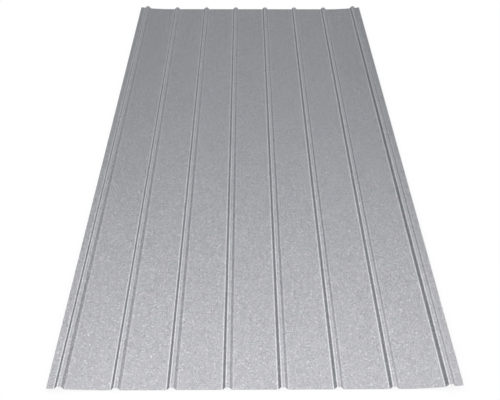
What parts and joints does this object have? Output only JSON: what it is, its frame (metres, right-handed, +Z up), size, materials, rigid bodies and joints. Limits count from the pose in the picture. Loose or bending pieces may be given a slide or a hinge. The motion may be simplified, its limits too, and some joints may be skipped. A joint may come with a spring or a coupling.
{
  "type": "ribbed steel roofing sheet",
  "caption": "Long zinc-coated steel roofing sheet, roll-formed with narrow trapezoidal ribs between wide flat pans and plain lips along both edges.",
  "frame": {"origin": "middle of the sheet's footprint, on the floor that its flat pans lie on", "axes": "+Y along the ribs, +X across the sheet, +Z up through the crests of the ribs"},
  "size_m": [0.91, 2, 0.0138],
  "materials": {
    "zinc_coated_steel": "hot-dip zinc coating with a fine frosted spangle"
  },
  "bodies": {
    "root": {"ribbed_sheet": "zinc_coated_steel"}
  },
  "joints": []
}
